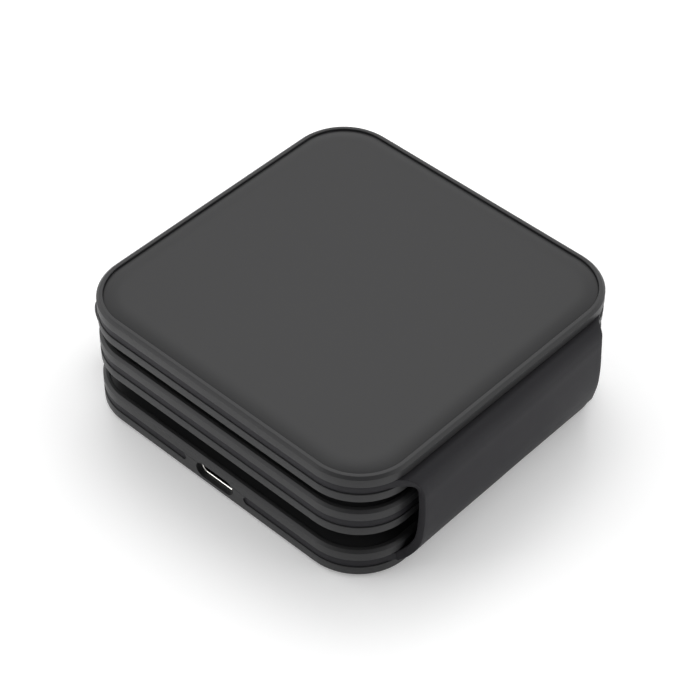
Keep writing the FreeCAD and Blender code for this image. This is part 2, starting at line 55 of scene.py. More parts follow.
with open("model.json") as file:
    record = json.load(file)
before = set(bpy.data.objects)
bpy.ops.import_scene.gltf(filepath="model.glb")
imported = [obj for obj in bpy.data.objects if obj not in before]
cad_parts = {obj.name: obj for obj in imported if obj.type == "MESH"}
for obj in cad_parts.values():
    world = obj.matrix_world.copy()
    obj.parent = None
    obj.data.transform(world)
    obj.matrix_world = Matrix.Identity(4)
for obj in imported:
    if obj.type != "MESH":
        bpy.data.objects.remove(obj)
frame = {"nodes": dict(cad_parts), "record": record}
cad_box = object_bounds()
MM = 0.001
scene = bpy.context.scene


def level(node, end):
    """The lowest (0) or highest (1) z of a CAD node, in millimetres."""
    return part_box(node)[end].z / MM


# the pads' outline, and how far the bands sit inside it
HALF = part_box("top_back_shell")[1].x / MM
CORNER = 11.0
CORNER_STEPS = 20
CORNER_CENTRE = HALF - CORNER
BAND_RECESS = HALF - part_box("middle_silicone_frame")[1].x / MM
# a tray's rim, its walls and the panel let into it
RIM_WIDTH = 1.2
RIM_CHAMFER = 0.5
PANEL_DEPTH = 0.8
PANEL_GAP = 0.07
DRAFT = 0.03
WALL = 1.8
# the straps; FILLET_START is the x where a strap's widening edge touches the band's corner
STRAP_HALF_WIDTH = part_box("long_strap")[1].y / MM
STRAP_THICKNESS = 1.5
STRAP_FILLET = 6.3
STRAP_ROOT = 1.6
STRAP_SWELL = 0.11
FILLET_START = 34.02
CURVE_STEPS = 7


# ---------------------------------------------------------------- mesh helpers

def finish_mesh(name, mesh, smooth_degrees=35):
    """Wrap a bmesh up as a clean object with smooth shading up to an angle."""
    bmesh.ops.remove_doubles(mesh, verts=mesh.verts, dist=1e-7)
    bmesh.ops.recalc_face_normals(mesh, faces=mesh.faces)
    data = bpy.data.meshes.new(name)
    mesh.to_mesh(data)
    mesh.free()
    piece = bpy.data.objects.new(name, data)
    scene.collection.objects.link(piece)
    shade(piece, smooth_degrees)
    return piece


def shade(piece, smooth_degrees=35):
    """Shade smoothly, but keep edges sharper than the angle crisp."""
    piece.data.shade_smooth()
    piece.data.set_sharp_from_angle(angle=math.radians(smooth_degrees))


def rounded_loop(inset, height):
    """The pad's outline, moved in by `inset`, at one height: points in metres."""
    half = HALF - inset
    radius = max(CORNER - inset, 0.02 * half)
    points = []
    for k, (sx, sy) in enumerate(((1, -1), (1, 1), (-1, 1), (-1, -1))):
        for step in range(CORNER_STEPS + 1):
            angle = math.radians(-90 + 90 * k + 90 * step / CORNER_STEPS)
            x = sx * (half - radius) + radius * math.cos(angle)
            y = sy * (half - radius) + radius * math.sin(angle)
            points.append(Vector((x, y, height)) * MM)
    return points


def bridge(mesh, loops):
    """Skin a list of equal point loops and cap both ends."""
    rings = [[mesh.verts.new(point) for point in loop] for loop in loops]
    for low, high in zip(rings, rings[1:]):
        count = len(low)
        for i in range(count):
            j = (i + 1) % count
            mesh.faces.new((low[i], low[j], high[j], high[i]))
    mesh.faces.new(rings[0][::-1])
    mesh.faces.new(rings[-1])


def rounded_profile(corners, steps=4):
    """A polyline from (inset, z, radius) corners, with an arc at each radius above 0."""
    path = []
    for index, (u, v, radius) in enumerate(corners):
        here = Vector((u, v))
        if radius <= 0 or index in (0, len(corners) - 1):
            path.append(here)
            continue
        before = (Vector(corners[index - 1][:2]) - here).normalized()
        after = (Vector(corners[index + 1][:2]) - here).normalized()
        half_turn = before.angle(after) / 2
        reach = radius / math.tan(half_turn)
        centre = here + (before + after).normalized() * (radius / math.sin(half_turn))
        first, last = here + before * reach - centre, here + after * reach - centre
        sweep = first.angle(last)
        for step in range(steps + 1):
            share = step / steps
            mix = (first * math.sin((1 - share) * sweep) + last * math.sin(share * sweep))
            path.append(centre + mix / math.sin(sweep))
    return path


def turned(name, corners, steps=4, smooth_degrees=35):
    """A solid of the pad's outline from a profile that starts and ends at its middle."""
    mesh = bmesh.new()
    bridge(mesh, [rounded_loop(p.x, p.y) for p in rounded_profile(corners, steps)])
    return finish_mesh(name, mesh, smooth_degrees)


def prism(name, outline, depth_low, depth_high):
    """A cutter: an outline in x and z pushed through between two y values."""
    mesh = bmesh.new()
    bridge(mesh, [[Vector((x, y, z)) * MM for x, z in outline]
                  for y in (depth_low, depth_high)])
    return finish_mesh(name, mesh)


def combine(piece, tool, operation):
    """Cut or join with another closed mesh, and drop the tool."""
    modifier = piece.modifiers.new("combine", "BOOLEAN")
    modifier.object = tool
    modifier.operation = operation
    modifier.solver = "EXACT"
    apply_modifiers(piece)
    shade(piece)
    bpy.data.objects.remove(tool)


def apply_modifiers(piece):
    """Turn what the modifiers make into the piece's own plain mesh."""
    bpy.context.view_layer.update()
    graph = bpy.context.evaluated_depsgraph_get()
    made = bpy.data.meshes.new_from_object(piece.evaluated_get(graph))
    piece.modifiers.clear()
    piece.data = made
    piece.data.name = piece.name


def mirror_down(piece, back_level):
    """Turn a pad's piece over about X, with its back at the given height."""
    turn = Matrix.Translation((0, 0, back_level * MM)) @ Matrix.Rotation(math.pi, 4, "X")
    piece.data.transform(turn)


def clean(piece):
    """Merge stray close points after a cut and turn every face outward."""
    mesh = bmesh.new()
    mesh.from_mesh(piece.data)
    bmesh.ops.remove_doubles(mesh, verts=mesh.verts, dist=2e-6)
    bmesh.ops.recalc_face_normals(mesh, faces=mesh.faces)
    mesh.to_mesh(piece.data)
    mesh.free()
    shade(piece)


# ---------------------------------------------------------------- materials

def node(tree, kind, inputs=None, **settings):
    """Add a shader node, set its properties and feed or fill its inputs."""
    made = tree.nodes.new(kind)
    for name, value in settings.items():
        setattr(made, name, value)
    for name, value in (inputs or {}).items():
        if isinstance(value, bpy.types.NodeSocket):
            tree.links.new(value, made.inputs[name])
        else:
            made.inputs[name].default_value = value
    return made


def make_group(name, inputs, outputs):
    """An empty shader node group with float inputs and the named outputs."""
    tree = bpy.data.node_groups.new(name, "ShaderNodeTree")
    tree.interface.new_socket("Vector", in_out="INPUT", socket_type="NodeSocketVector")
    for label, value in inputs.items():
        socket = tree.interface.new_socket(label, in_out="INPUT", socket_type="NodeSocketFloat")
        socket.default_value = value
    for label in outputs:
        tree.interface.new_socket(label, in_out="OUTPUT", socket_type="NodeSocketFloat")
    return tree, tree.nodes.new("NodeGroupInput"), tree.nodes.new("NodeGroupOutput")


def build_grain_group():
    """Moulded-in grain: a fine height, and a slow mottle for colour and gloss."""
    tree, source, sink = make_group("moulded_grain", {"Grain": 4000.0, "Mottle": 60.0},
                                    ("Height", "Mottle"))
    fine = node(tree, "ShaderNodeTexNoise", {"Vector": source.outputs["Vector"],
                                             "Scale": source.outputs["Grain"],
                                             "Detail": 3.0, "Roughness": 0.6})
    pits = node(tree, "ShaderNodeTexVoronoi", {"Vector": source.outputs["Vector"],
                                               "Scale": source.outputs["Grain"]})
    both = node(tree, "ShaderNodeMath", {0: fine.outputs["Fac"], 1: pits.outputs["Distance"]},
                operation="ADD")
    slow = node(tree, "ShaderNodeTexNoise", {"Vector": source.outputs["Vector"],
                                             "Scale": source.outputs["Mottle"],
                                             "Detail": 4.0, "Roughness": 0.55})
    tree.links.new(both.outputs[0], sink.inputs["Height"])
    tree.links.new(slow.outputs["Fac"], sink.inputs["Mottle"])
    return tree


def build_speck_group():
    """Sparse pale specks of dust that a soft matt surface picks up."""
    tree, source, sink = make_group("dust_specks", {"Scale": 900.0, "Cover": 0.06},
                                    ("Mask",))
    cells = node(tree, "ShaderNodeTexVoronoi", {"Vector": source.outputs["Vector"],
                                                "Scale": source.outputs["Scale"],
                                                "Randomness": 1.0})
    drift = node(tree, "ShaderNodeTexNoise", {"Vector": source.outputs["Vector"],
                                              "Scale": 90.0, "Detail": 2.0})
    reach = node(tree, "ShaderNodeMath", {0: source.outputs["Cover"],
                                          1: drift.outputs["Fac"]}, operation="MULTIPLY")
    near = node(tree, "ShaderNodeMath", {0: cells.outputs["Distance"], 1: reach.outputs[0]},
                operation="LESS_THAN")
    tree.links.new(near.outputs[0], sink.inputs["Mask"])
    return tree


GRAIN = build_grain_group()
SPECKS = build_speck_group()


def place_group(tree, group, vector, **values):
    """Use a shader group, fed with a position, with these input values."""
    made = tree.nodes.new("ShaderNodeGroup")
    made.node_tree = group
    tree.links.new(vector, made.inputs["Vector"])
    for name, value in values.items():
        made.inputs[name].default_value = value
    return made


def ramp(tree, factor, low, high, low_at=0.3, high_at=0.7):
    """A colour ramp between two colours."""
    made = node(tree, "ShaderNodeValToRGB", {"Fac": factor})
    stops = made.color_ramp.elements
    stops[0].position, stops[0].color = low_at, (*low, 1)
    stops[1].position, stops[1].color = high_at, (*high, 1)
    return made.outputs["Color"]


def spread(tree, factor, low, high):
    """Stretch a noise value over a range of plain numbers."""
    made = node(tree, "ShaderNodeMapRange", {"Value": factor, "From Min": 0.3, "From Max": 0.7,
                                             "To Min": low, "To Max": high})
    return made.outputs["Result"]


def new_material(name, **sockets):
    """A material whose shader has these plain values; returns (material, tree, shader, place)."""
    material = bpy.data.materials.new(name)
    material.use_nodes = True
    tree = material.node_tree
    shader = tree.nodes["Principled BSDF"]
    for label, value in sockets.items():
        shader.inputs[label.replace("_", " ")].default_value = value
    place = node(tree, "ShaderNodeTexCoord").outputs["Object"]
    return material, tree, shader, place


def grained(name, dark, light, rough, grain=4000.0, depth=0.00001, mottle=60.0, dust=0.0,
            dust_colour=(0.25, 0.25, 0.25), **sockets):
    """A moulded or cast surface: mottled colour and gloss, fine grain, and some dust."""
    material, tree, shader, place = new_material(name, **sockets)
    surface = place_group(tree, GRAIN, place, Grain=grain, Mottle=mottle)
    colour = ramp(tree, surface.outputs["Mottle"], dark, light)
    if dust:
        specks = place_group(tree, SPECKS, place, Cover=dust)
        mix = node(tree, "ShaderNodeMix", {"Factor": specks.outputs["Mask"]},
                   data_type="RGBA")
        tree.links.new(colour, mix.inputs["A"])
        mix.inputs["B"].default_value = (*dust_colour, 1)
        colour = mix.outputs["Result"]
    tree.links.new(colour, shader.inputs["Base Color"])
    tree.links.new(spread(tree, surface.outputs["Mottle"], *rough), shader.inputs["Roughness"])
    bump = node(tree, "ShaderNodeBump", {"Height": surface.outputs["Height"], "Strength": 1.0,
                                         "Distance": depth})
    tree.links.new(bump.outputs["Normal"], shader.inputs["Normal"])
    return material


def brushed(name, colour, rough, stretch=(1, 1, 1), **sockets):
    """Metal with fine drawn lines along one direction."""
    material, tree, shader, place = new_material(name, Metallic=1.0, **sockets)
    drawn = node(tree, "ShaderNodeMapping", {"Vector": place, "Scale": stretch})
    lines = node(tree, "ShaderNodeTexNoise", {"Vector": drawn.outputs["Vector"],
                                              "Scale": 900.0, "Detail": 3.0})
    paler = tuple(min(1.0, channel * 1.15) for channel in colour)
    tree.links.new(ramp(tree, lines.outputs["Fac"], colour, paler), shader.inputs["Base Color"])
    tree.links.new(spread(tree, lines.outputs["Fac"], *rough), shader.inputs["Roughness"])
    bump = node(tree, "ShaderNodeBump", {"Height": lines.outputs["Fac"], "Strength": 0.4,
                                         "Distance": 0.00001})
    tree.links.new(bump.outputs["Normal"], shader.inputs["Normal"])
    return material


def sleeve_steel_painted_shade(name, mouth):
    """Bright rolled steel at the mouth of the socket, darkened further in by painted shade."""
    material, tree, shader, place = new_material(name, Metallic=1.0, Roughness=0.22)
    axes = node(tree, "ShaderNodeSeparateXYZ", {"Vector": place})
    # painted shade: past the lip the steel's colour fades to near-black, standing in for the shade
    # inside the socket
    depth = node(tree, "ShaderNodeMapRange", {"Value": axes.outputs["Y"],
                                              "From Min": (mouth + 0.18) * MM,
                                              "From Max": (mouth + 0.42) * MM})
    lines = node(tree, "ShaderNodeTexNoise", {"Vector": place, "Scale": 2500.0})
    bright = ramp(tree, lines.outputs["Fac"], (0.86, 0.84, 0.80), (0.95, 0.93, 0.90))
    mix = node(tree, "ShaderNodeMix", {"Factor": depth.outputs["Result"]}, data_type="RGBA")
    tree.links.new(bright, mix.inputs["A"])
    mix.inputs["B"].default_value = (0.010, 0.011, 0.011, 1)
    tree.links.new(mix.outputs["Result"], shader.inputs["Base Color"])
    return material


def laminate(name):
    """Green solder mask over copper tracks, with bare gold pads."""
    material, tree, shader, place = new_material(name)
    tracks = node(tree, "ShaderNodeTexBrick", {"Vector": place, "Scale": 260.0,
                                               "Color1": (0.012, 0.060, 0.028, 1),
                                               "Color2": (0.016, 0.085, 0.038, 1),
                                               "Mortar": (0.030, 0.150, 0.070, 1),
                                               "Mortar Size": 0.04})
    holes = node(tree, "ShaderNodeTexVoronoi", {"Vector": place, "Scale": 420.0,
                                                "Randomness": 0.6})
    bare = node(tree, "ShaderNodeMath", {0: holes.outputs["Distance"], 1: 0.14},
                operation="LESS_THAN")
    mix = node(tree, "ShaderNodeMix", {"Factor": bare.outputs[0]}, data_type="RGBA")
    tree.links.new(tracks.outputs["Color"], mix.inputs["A"])
    mix.inputs["B"].default_value = (0.75, 0.55, 0.2, 1)
    tree.links.new(mix.outputs["Result"], shader.inputs["Base Color"])
    tree.links.new(bare.outputs[0], shader.inputs["Metallic"])
    tree.links.new(spread(tree, tracks.outputs["Fac"], 0.35, 0.28), shader.inputs["Roughness"])
    bump = node(tree, "ShaderNodeBump", {"Height": tracks.outputs["Fac"], "Strength": 0.5,
                                         "Distance": 0.00003})
    tree.links.new(bump.outputs["Normal"], shader.inputs["Normal"])
    return material


def ribbon_film(name):
    """Amber polyimide with copper conductors running along the ribbon."""
    material, tree, shader, place = new_material(name)
    stripes = node(tree, "ShaderNodeTexWave", {"Vector": place, "Scale": 160.0,
                                               "Distortion": 0.0},
                   wave_type="BANDS", bands_direction="Y")
    colour = ramp(tree, stripes.outputs["Fac"], (0.30, 0.11, 0.02), (0.62, 0.30, 0.10),
                  0.45, 0.55)
    tree.links.new(colour, shader.inputs["Base Color"])
    tree.links.new(spread(tree, stripes.outputs["Fac"], 0.38, 0.25), shader.inputs["Roughness"])
    return material


MATERIALS = {
    "case_plastic": grained("case_plastic", (0.025, 0.025, 0.026), (0.029, 0.029, 0.030),
                            (0.42, 0.48), grain=5200.0, depth=0.000008,
                            Specular_IOR_Level=0.28),
    "panel_coating": grained("panel_coating", (0.014, 0.014, 0.0148), (0.016, 0.016, 0.0168),
                             (0.33, 0.36), grain=6500.0, depth=0.000004, mottle=35.0,
                             Specular_IOR_Level=0.25),
    "silicone": grained("silicone", (0.011, 0.0105, 0.013), (0.014, 0.0135, 0.016),
                        (0.54, 0.62), grain=3000.0, depth=0.000008, mottle=80.0, dust=0.05,
                        dust_colour=(0.08, 0.08, 0.08), Specular_IOR_Level=0.22),
    "grip_silicone": grained("grip_silicone", (0.030, 0.030, 0.032), (0.038, 0.038, 0.040),
                             (0.55, 0.65), grain=3000.0, depth=0.000008),
    "screw_steel": brushed("screw_steel", (0.50, 0.50, 0.51), (0.28, 0.40)),
    "puck_glaze": grained("puck_glaze", (0.70, 0.70, 0.69), (0.76, 0.76, 0.75), (0.20, 0.26),
                          grain=5000.0, depth=0.000002, Coat_Weight=0.4, Coat_Roughness=0.12),
    "coil_copper": brushed("coil_copper", (0.62, 0.25, 0.10), (0.25, 0.38)),
    "ferrite": grained("ferrite", (0.022, 0.021, 0.021), (0.050, 0.048, 0.046), (0.55, 0.75),
                       grain=2600.0, depth=0.00002),
    "magnet_nickel": brushed("magnet_nickel", (0.60, 0.58, 0.53), (0.16, 0.26)),
    "shield_foil": brushed("shield_foil", (0.72, 0.72, 0.73), (0.22, 0.36), (1, 12, 1)),
    # the socket's steel carries painted shade deeper inside its mouth
    "socket_steel": sleeve_steel_painted_shade("socket_steel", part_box("socket_shell")[0].y / MM),
    "tongue_plastic": grained("tongue_plastic", (0.010, 0.010, 0.010), (0.016, 0.016, 0.016),
                              (0.40, 0.50)),
    "contact_gold": brushed("contact_gold", (0.80, 0.56, 0.22), (0.20, 0.30)),
    "flex_film": ribbon_film("flex_film"),
    "board_laminate": laminate("board_laminate"),
    "chip_resin": grained("chip_resin", (0.014, 0.014, 0.015), (0.024, 0.024, 0.025),
                          (0.45, 0.60), grain=2600.0, depth=0.00002),
    "capacitor_ceramic": grained("capacitor_ceramic", (0.30, 0.20, 0.12), (0.42, 0.30, 0.20),
                                 (0.40, 0.55), grain=1800.0),
}


def dress(piece, slot, body=None, replaced=()):
    """Give a new piece the material of its slot and the body it rides on, and hide the CAD pieces
    it stands for.
    """
    piece.data.materials.clear()
    piece.data.materials.append(MATERIALS[slot])
    if body:
        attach(piece, body)
    if replaced:
        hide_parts(*replaced)


# ---------------------------------------------------------------- the pads

# pad: (body, height of its back, whether it lies face down)
PADS = {
    "bottom": ("bottom_pad", level("bottom_back_panel", 0), False),
    "middle": ("middle_pad", level("middle_back_panel", 1), True),
    "top": ("top_pad", level("top_back_panel", 1), True),
}
THICKNESS = level("bottom_face_panel", 1)
BAND_LOW = level("bottom_silicone_frame", 0)
BAND_HIGH = level("bottom_silicone_frame", 1)
RIM_STEP = level("bottom_back_shell", 0)
CENTRE = HALF - 0.05
EDGE = 0.12
PORT_LEVEL = (level("socket_shell", 0) + level("socket_shell", 1)) / 2
PORT_HALF_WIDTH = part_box("socket_shell")[1].x / MM + 0.06
PORT_HALF_HEIGHT = 1.66
BLOCK_HALF = 7.1
BAND_DEPTH = 2.6
PUCK_HOLE = 14.1


def tray_profile(flip):
    """Half of a tray's section, from the middle of its inside round to the outside."""
    corners = [(CENTRE, 1.6, 0), (WALL, 1.6, 0.3), (WALL, BAND_LOW, 0.05),
               (0, BAND_LOW, EDGE), (DRAFT, RIM_STEP + RIM_CHAMFER, 0.06),
               (DRAFT + RIM_CHAMFER, RIM_STEP + 0.03, 0.10), (RIM_WIDTH, RIM_STEP, 0.12),
               (RIM_WIDTH, PANEL_DEPTH, 0), (CENTRE, PANEL_DEPTH, 0)]
    if flip:
        corners = [(u, THICKNESS - v, r) for u, v, r in corners]
    return corners


def panel_profile(flip):
    """A panel's section: its outer face rolls down softly towards the edge."""
    inset = RIM_WIDTH + PANEL_GAP
    corners = [(CENTRE, PANEL_DEPTH, 0), (inset, PANEL_DEPTH, 0)]
    roll_width, roll_drop = 3.6, 0.46
    steps = 12
    for step in range(steps + 1):
        share = step / steps
        corners.append((inset + roll_width * share, roll_drop * (1 - share) ** 2, 0))
    corners.append((CENTRE, 0, 0))
    if flip:
        corners = [(u, THICKNESS - v, r) for u, v, r in corners]
    return corners


def port_outline(grow=0.0, steps=16):
    """The socket's slot seen from the front: straight sides and round ends."""
    radius = PORT_HALF_HEIGHT + grow
    run = PORT_HALF_WIDTH - PORT_HALF_HEIGHT
    points = []
    for side in (1, -1):
        for step in range(steps + 1):
            angle = math.radians(-90 + 180 * step / steps) + (0 if side > 0 else math.pi)
            points.append((side * run + radius * math.cos(angle),
                           PORT_LEVEL + radius * math.sin(angle)))
    return points


def block_outline(gap, root=0.0, steps=12):
    """The break in the band round the socket; its ends are hollow, to fit round ends."""
    middle = (BAND_LOW + BAND_HIGH) / 2
    radius = (BAND_HIGH - BAND_LOW) / 2 + gap
    reach = BLOCK_HALF + (BAND_HIGH - BAND_LOW) / 2
    points = []
    for side in (1, -1):
        side_points = []
        for step in range(steps + 1):
            angle = math.radians(-90 + 180 * step / steps)
            side_points.append((side * (reach - radius * math.cos(angle)),
                                middle + radius * math.sin(angle)))
        side_points.insert(0, (side * reach, middle - radius - root))
        points += side_points[::side]
    return points


def make_trays(pad):
    """The two halves of a pad's case, and in the bottom pad the socket's block and slot."""
    body, back, over = PADS[pad]
    back_tray = turned(f"{pad}_back_tray", tray_profile(False))
    face_tray = turned(f"{pad}_face_tray", tray_profile(True))
    if pad == "bottom":
        block = prism("port_block", block_outline(0.02, root=0.3), -HALF, -HALF + WALL)
        combine(back_tray, block, "UNION")
        for tray in (back_tray, face_tray):
            cutter = prism("port_cutter", port_outline(), -HALF - 1, -HALF + WALL + 1)
            combine(tray, cutter, "DIFFERENCE")
    for tray, replaced in ((back_tray, f"{pad}_back_shell"), (face_tray, f"{pad}_face_shell")):
        if over:
            mirror_down(tray, back)
        clean(tray)
        dress(tray, "case_plastic", body, [replaced])


def make_panels(pad):
    """The coated panels of a pad; the bottom pad's charging face is open round the puck."""
    body, back, over = PADS[pad]
    for side, flip in (("back", False), ("face", True)):
        piece = turned(f"{pad}_{side}_plate", panel_profile(flip), smooth_degrees=40)
        if pad == "bottom" and flip:
            ring = [(PUCK_HOLE * math.cos(a), PUCK_HOLE * math.sin(a))
                    for a in (math.tau * k / 96 for k in range(96))]
            mesh = bmesh.new()
            bridge(mesh, [[Vector((x, y, z)) * MM for x, y in ring]
                          for z in (THICKNESS - 2, THICKNESS + 2)])
            combine(piece, finish_mesh("puck_cutter", mesh), "DIFFERENCE")
        if over:
            mirror_down(piece, back)
        clean(piece)
        dress(piece, "panel_coating", body, [f"{pad}_{side}_panel"])


def make_band_tree():
    """Geometry nodes: a soft-edged band swept round a rounded square."""
    tree = bpy.data.node_groups.new("rounded_band", "GeometryNodeTree")
    face = tree.interface
    face.new_socket("Geometry", in_out="OUTPUT", socket_type="NodeSocketGeometry")
    for label in ("Width", "Corner Radius", "Depth", "Height", "Edge Radius", "Level"):
        face.new_socket(label, in_out="INPUT", socket_type="NodeSocketFloat")
    face.new_socket("Material", in_out="INPUT", socket_type="NodeSocketMaterial")
    source = tree.nodes.new("NodeGroupInput")
    sink = tree.nodes.new("NodeGroupOutput")

    def rounded(width, height, radius, count):
        shape = node(tree, "GeometryNodeCurvePrimitiveQuadrilateral",
                     {"Width": width, "Height": height})
        return node(tree, "GeometryNodeFilletCurve",
                    {"Curve": shape.outputs[0], "Radius": radius, "Count": count}, mode="POLY")

    path = rounded(source.outputs["Width"], source.outputs["Width"],
                   source.outputs["Corner Radius"], CORNER_STEPS)
    upright = node(tree, "GeometryNodeSetCurveNormal", {"Curve": path.outputs[0]}, mode="Z_UP")
    section = rounded(source.outputs["Depth"], source.outputs["Height"],
                      source.outputs["Edge Radius"], 4)
    swept = node(tree, "GeometryNodeCurveToMesh",
                 {"Curve": upright.outputs[0], "Profile Curve": section.outputs[0]})
    lift = node(tree, "ShaderNodeCombineXYZ", {"Z": source.outputs["Level"]})
    moved = node(tree, "GeometryNodeTransform",
                 {"Geometry": swept.outputs[0], "Translation": lift.outputs[0]})
    real = node(tree, "GeometryNodeRealizeInstances", {"Geometry": moved.outputs[0]})
    painted = node(tree, "GeometryNodeSetMaterial",
                   {"Geometry": real.outputs[0], "Material": source.outputs["Material"]})
    tree.links.new(painted.outputs[0], sink.inputs[0])
    return tree


def grow(name, tree, **values):
    """Run a geometry-nodes tree with these inputs and keep the result as a plain mesh."""
    piece = bpy.data.objects.new(name, bpy.data.meshes.new(name))
    scene.collection.objects.link(piece)
    modifier = piece.modifiers.new("grow", "NODES")
    modifier.node_group = tree
    for socket in tree.interface.items_tree:
        key = socket.name.replace(" ", "_")
        if socket.in_out == "INPUT" and key in values:
            modifier[socket.identifier] = values[key]
    apply_modifiers(piece)
    return piece


def make_band(pad, tree):
    """The soft band between a pad's trays; in the bottom pad it stops beside the socket."""
    body, back, over = PADS[pad]
    middle = BAND_RECESS + BAND_DEPTH / 2
    piece = grow(f"{pad}_band", tree, Width=2 * (HALF - middle) * MM,
                 Corner_Radius=(CORNER - middle) * MM, Depth=BAND_DEPTH * MM,
                 Height=(BAND_HIGH - BAND_LOW) * MM, Edge_Radius=0.16 * MM,
                 Level=(BAND_LOW + BAND_HIGH) / 2 * MM, Material=MATERIALS["silicone"])
    if pad == "bottom":
        cutter = prism("band_cutter", block_outline(0.0), -HALF - 1, -HALF + BAND_DEPTH + 1)
        middle_z = (BAND_LOW + BAND_HIGH) / 2 * MM
        stretch = 1.001
        for vertex in cutter.data.vertices:
            vertex.co.z = middle_z + (vertex.co.z - middle_z) * stretch
        combine(piece, cutter, "DIFFERENCE")
    if over:
        mirror_down(piece, back)
    clean(piece)
    dress(piece, "silicone", body, [f"{pad}_silicone_frame"])


def make_socket_sleeve():
    """The socket's drawn steel shell: a slot-shaped cup with a rolled lip."""
    back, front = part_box("socket_shell")[1].y / MM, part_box("socket_shell")[0].y / MM
    wall, lip = 0.4, 0.2
    corners = [(0, back, 0), (0, front, lip - 0.01), (wall, front, lip - 0.01),
               (wall, back - wall, 0)]
    shrink = PORT_HALF_HEIGHT - (level("socket_shell", 1) - level("socket_shell", 0)) / 2
    mesh = bmesh.new()
    bridge(mesh, [[Vector((x, p.y, z)) * MM for x, z in port_outline(-p.x - shrink)]
                  for p in rounded_profile(corners, 6)])
    piece = finish_mesh("socket_sleeve", mesh, 50)
    dress(piece, "socket_steel", "bottom_pad", ["socket_shell"])


# ---------------------------------------------------------------- the straps

def through(points, steps):
    """A smooth curve through a few given points, as short straight runs."""
    ends = [points[0] * 2 - points[1], *points, points[-1] * 2 - points[-2]]
    path = []
    for a, b, c, d in zip(ends, ends[1:], ends[2:], ends[3:]):
        for step in range(steps):
            s = step / steps
            path.append(0.5 * ((2 * b) + (c - a) * s + (2 * a - 5 * b + 4 * c - d) * s * s
                               + (3 * b - a - 3 * c + d) * s ** 3))
    path.append(points[-1])
    return path


def strap_section(half_width, half_thickness, edge=0.12, across=48):
    """Points (across, out) round a flat strap whose four long edges are softened."""
    points = []
    inner = half_width - edge
    for side, face, turn in ((1, -1, -90), (1, 1, 0), (-1, 1, 90), (-1, -1, 180)):
        for step in range(5):
            angle = math.radians(turn + 90 * step / 4)
            points.append((side * inner + edge * math.cos(angle),
                           face * (half_thickness - edge) + edge * math.sin(angle)))
        if side == face:
            points += [(side * (inner - 2 * inner * k / across), face * half_thickness)
                       for k in range(1, across)]
    return points


def fillet(run):
    """How much wider the strap is this far along from where its edge leaves the band."""
    reach = HALF - BAND_RECESS - CORNER_CENTRE
    span = math.sqrt((reach + STRAP_FILLET) ** 2 - STRAP_FILLET ** 2)
    touch = span * reach / (reach + STRAP_FILLET)
    left = max(0.0, span - touch - max(run, 0.0))
    return STRAP_FILLET - math.sqrt(STRAP_FILLET ** 2 - left ** 2)


def strap(name, path, taper=0.0, wave=0.0):
    """Loft a flat silicone strap along a path in x and z, widening into the bands.

    `taper` draws the +Y side of the free part inward and `wave` ripples it, in millimetres.
    """
    mesh = bmesh.new()
    runs = [0.0]
    for before, after in zip(path, path[1:]):
        runs.append(runs[-1] + (after - before).length)
    loops = []
    for index, point in enumerate(path):
        before = path[max(index - 1, 0)]
        after = path[min(index + 1, len(path) - 1)]
        along = (after - before).normalized()
        out = Vector((-along.y, along.x))
        loose = min(1.0, max(abs(point.x) - (HALF - BAND_RECESS), 0.0) / 3.0)
        ends = [abs(runs[index] - runs[k]) - abs(abs(path[k].x) - FILLET_START)
                for k in (0, -1) if abs(path[k].x) < HALF - 1]
        half_width = STRAP_HALF_WIDTH + fillet(min(ends))
        half_thickness = STRAP_THICKNESS / 2 + STRAP_SWELL * (1 - loose)
        loop = []
        for y, n in strap_section(half_width, half_thickness):
            ripple = wave * math.sin(y * 0.19 + point.y * 0.35)
            slack = ripple - taper * (y / STRAP_HALF_WIDTH + 1) / 2
            spot = point + out * n
            loop.append(Vector((spot.x + slack * loose, y, spot.y)) * MM)
        loops.append(loop)
    bridge(mesh, loops)
    return finish_mesh(name, mesh, 40)


BOTTOM_MID = (BAND_LOW + BAND_HIGH) / 2
MIDDLE_MID = PADS["middle"][1] - BOTTOM_MID
TOP_MID = PADS["top"][1] - BOTTOM_MID
FLEX_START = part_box("bottom_flex_right")[0].x / MM
FLEX_LEVEL = (level("bottom_flex_right", 0) + level("bottom_flex_right", 1)) / 2
FLEX_Y = (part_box("long_strap_flex")[0].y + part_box("long_strap_flex")[1].y) / MM / 2
FLEX_HALF_WIDTH = (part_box("long_strap_flex")[1].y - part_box("long_strap_flex")[0].y) / MM / 2
FLEX_THICKNESS = 0.2


def ribbon(name, path):
    """A thin flat cable laid along a path, inside the silicone."""
    mesh = bmesh.new()
    loops = []
    for index, point in enumerate(path):
        along = (path[min(index + 1, len(path) - 1)] - path[max(index - 1, 0)]).normalized()
        out = Vector((-along.y, along.x)) * FLEX_THICKNESS / 2
        loops.append([Vector((spot.x, FLEX_Y + side * FLEX_HALF_WIDTH, spot.y)) * MM
                      for side, spot in ((-1, point - out), (1, point - out),
                                         (1, point + out), (-1, point + out))])
    bridge(mesh, loops)
    return finish_mesh(name, mesh)


def bend(piece, bodies, start, end, slot, replaced):
    """Fix a strap or ribbon where it lies, give it its material and hide the CAD pieces it stands
    for.
    """
    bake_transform(piece)
    dress(piece, slot, None, replaced)


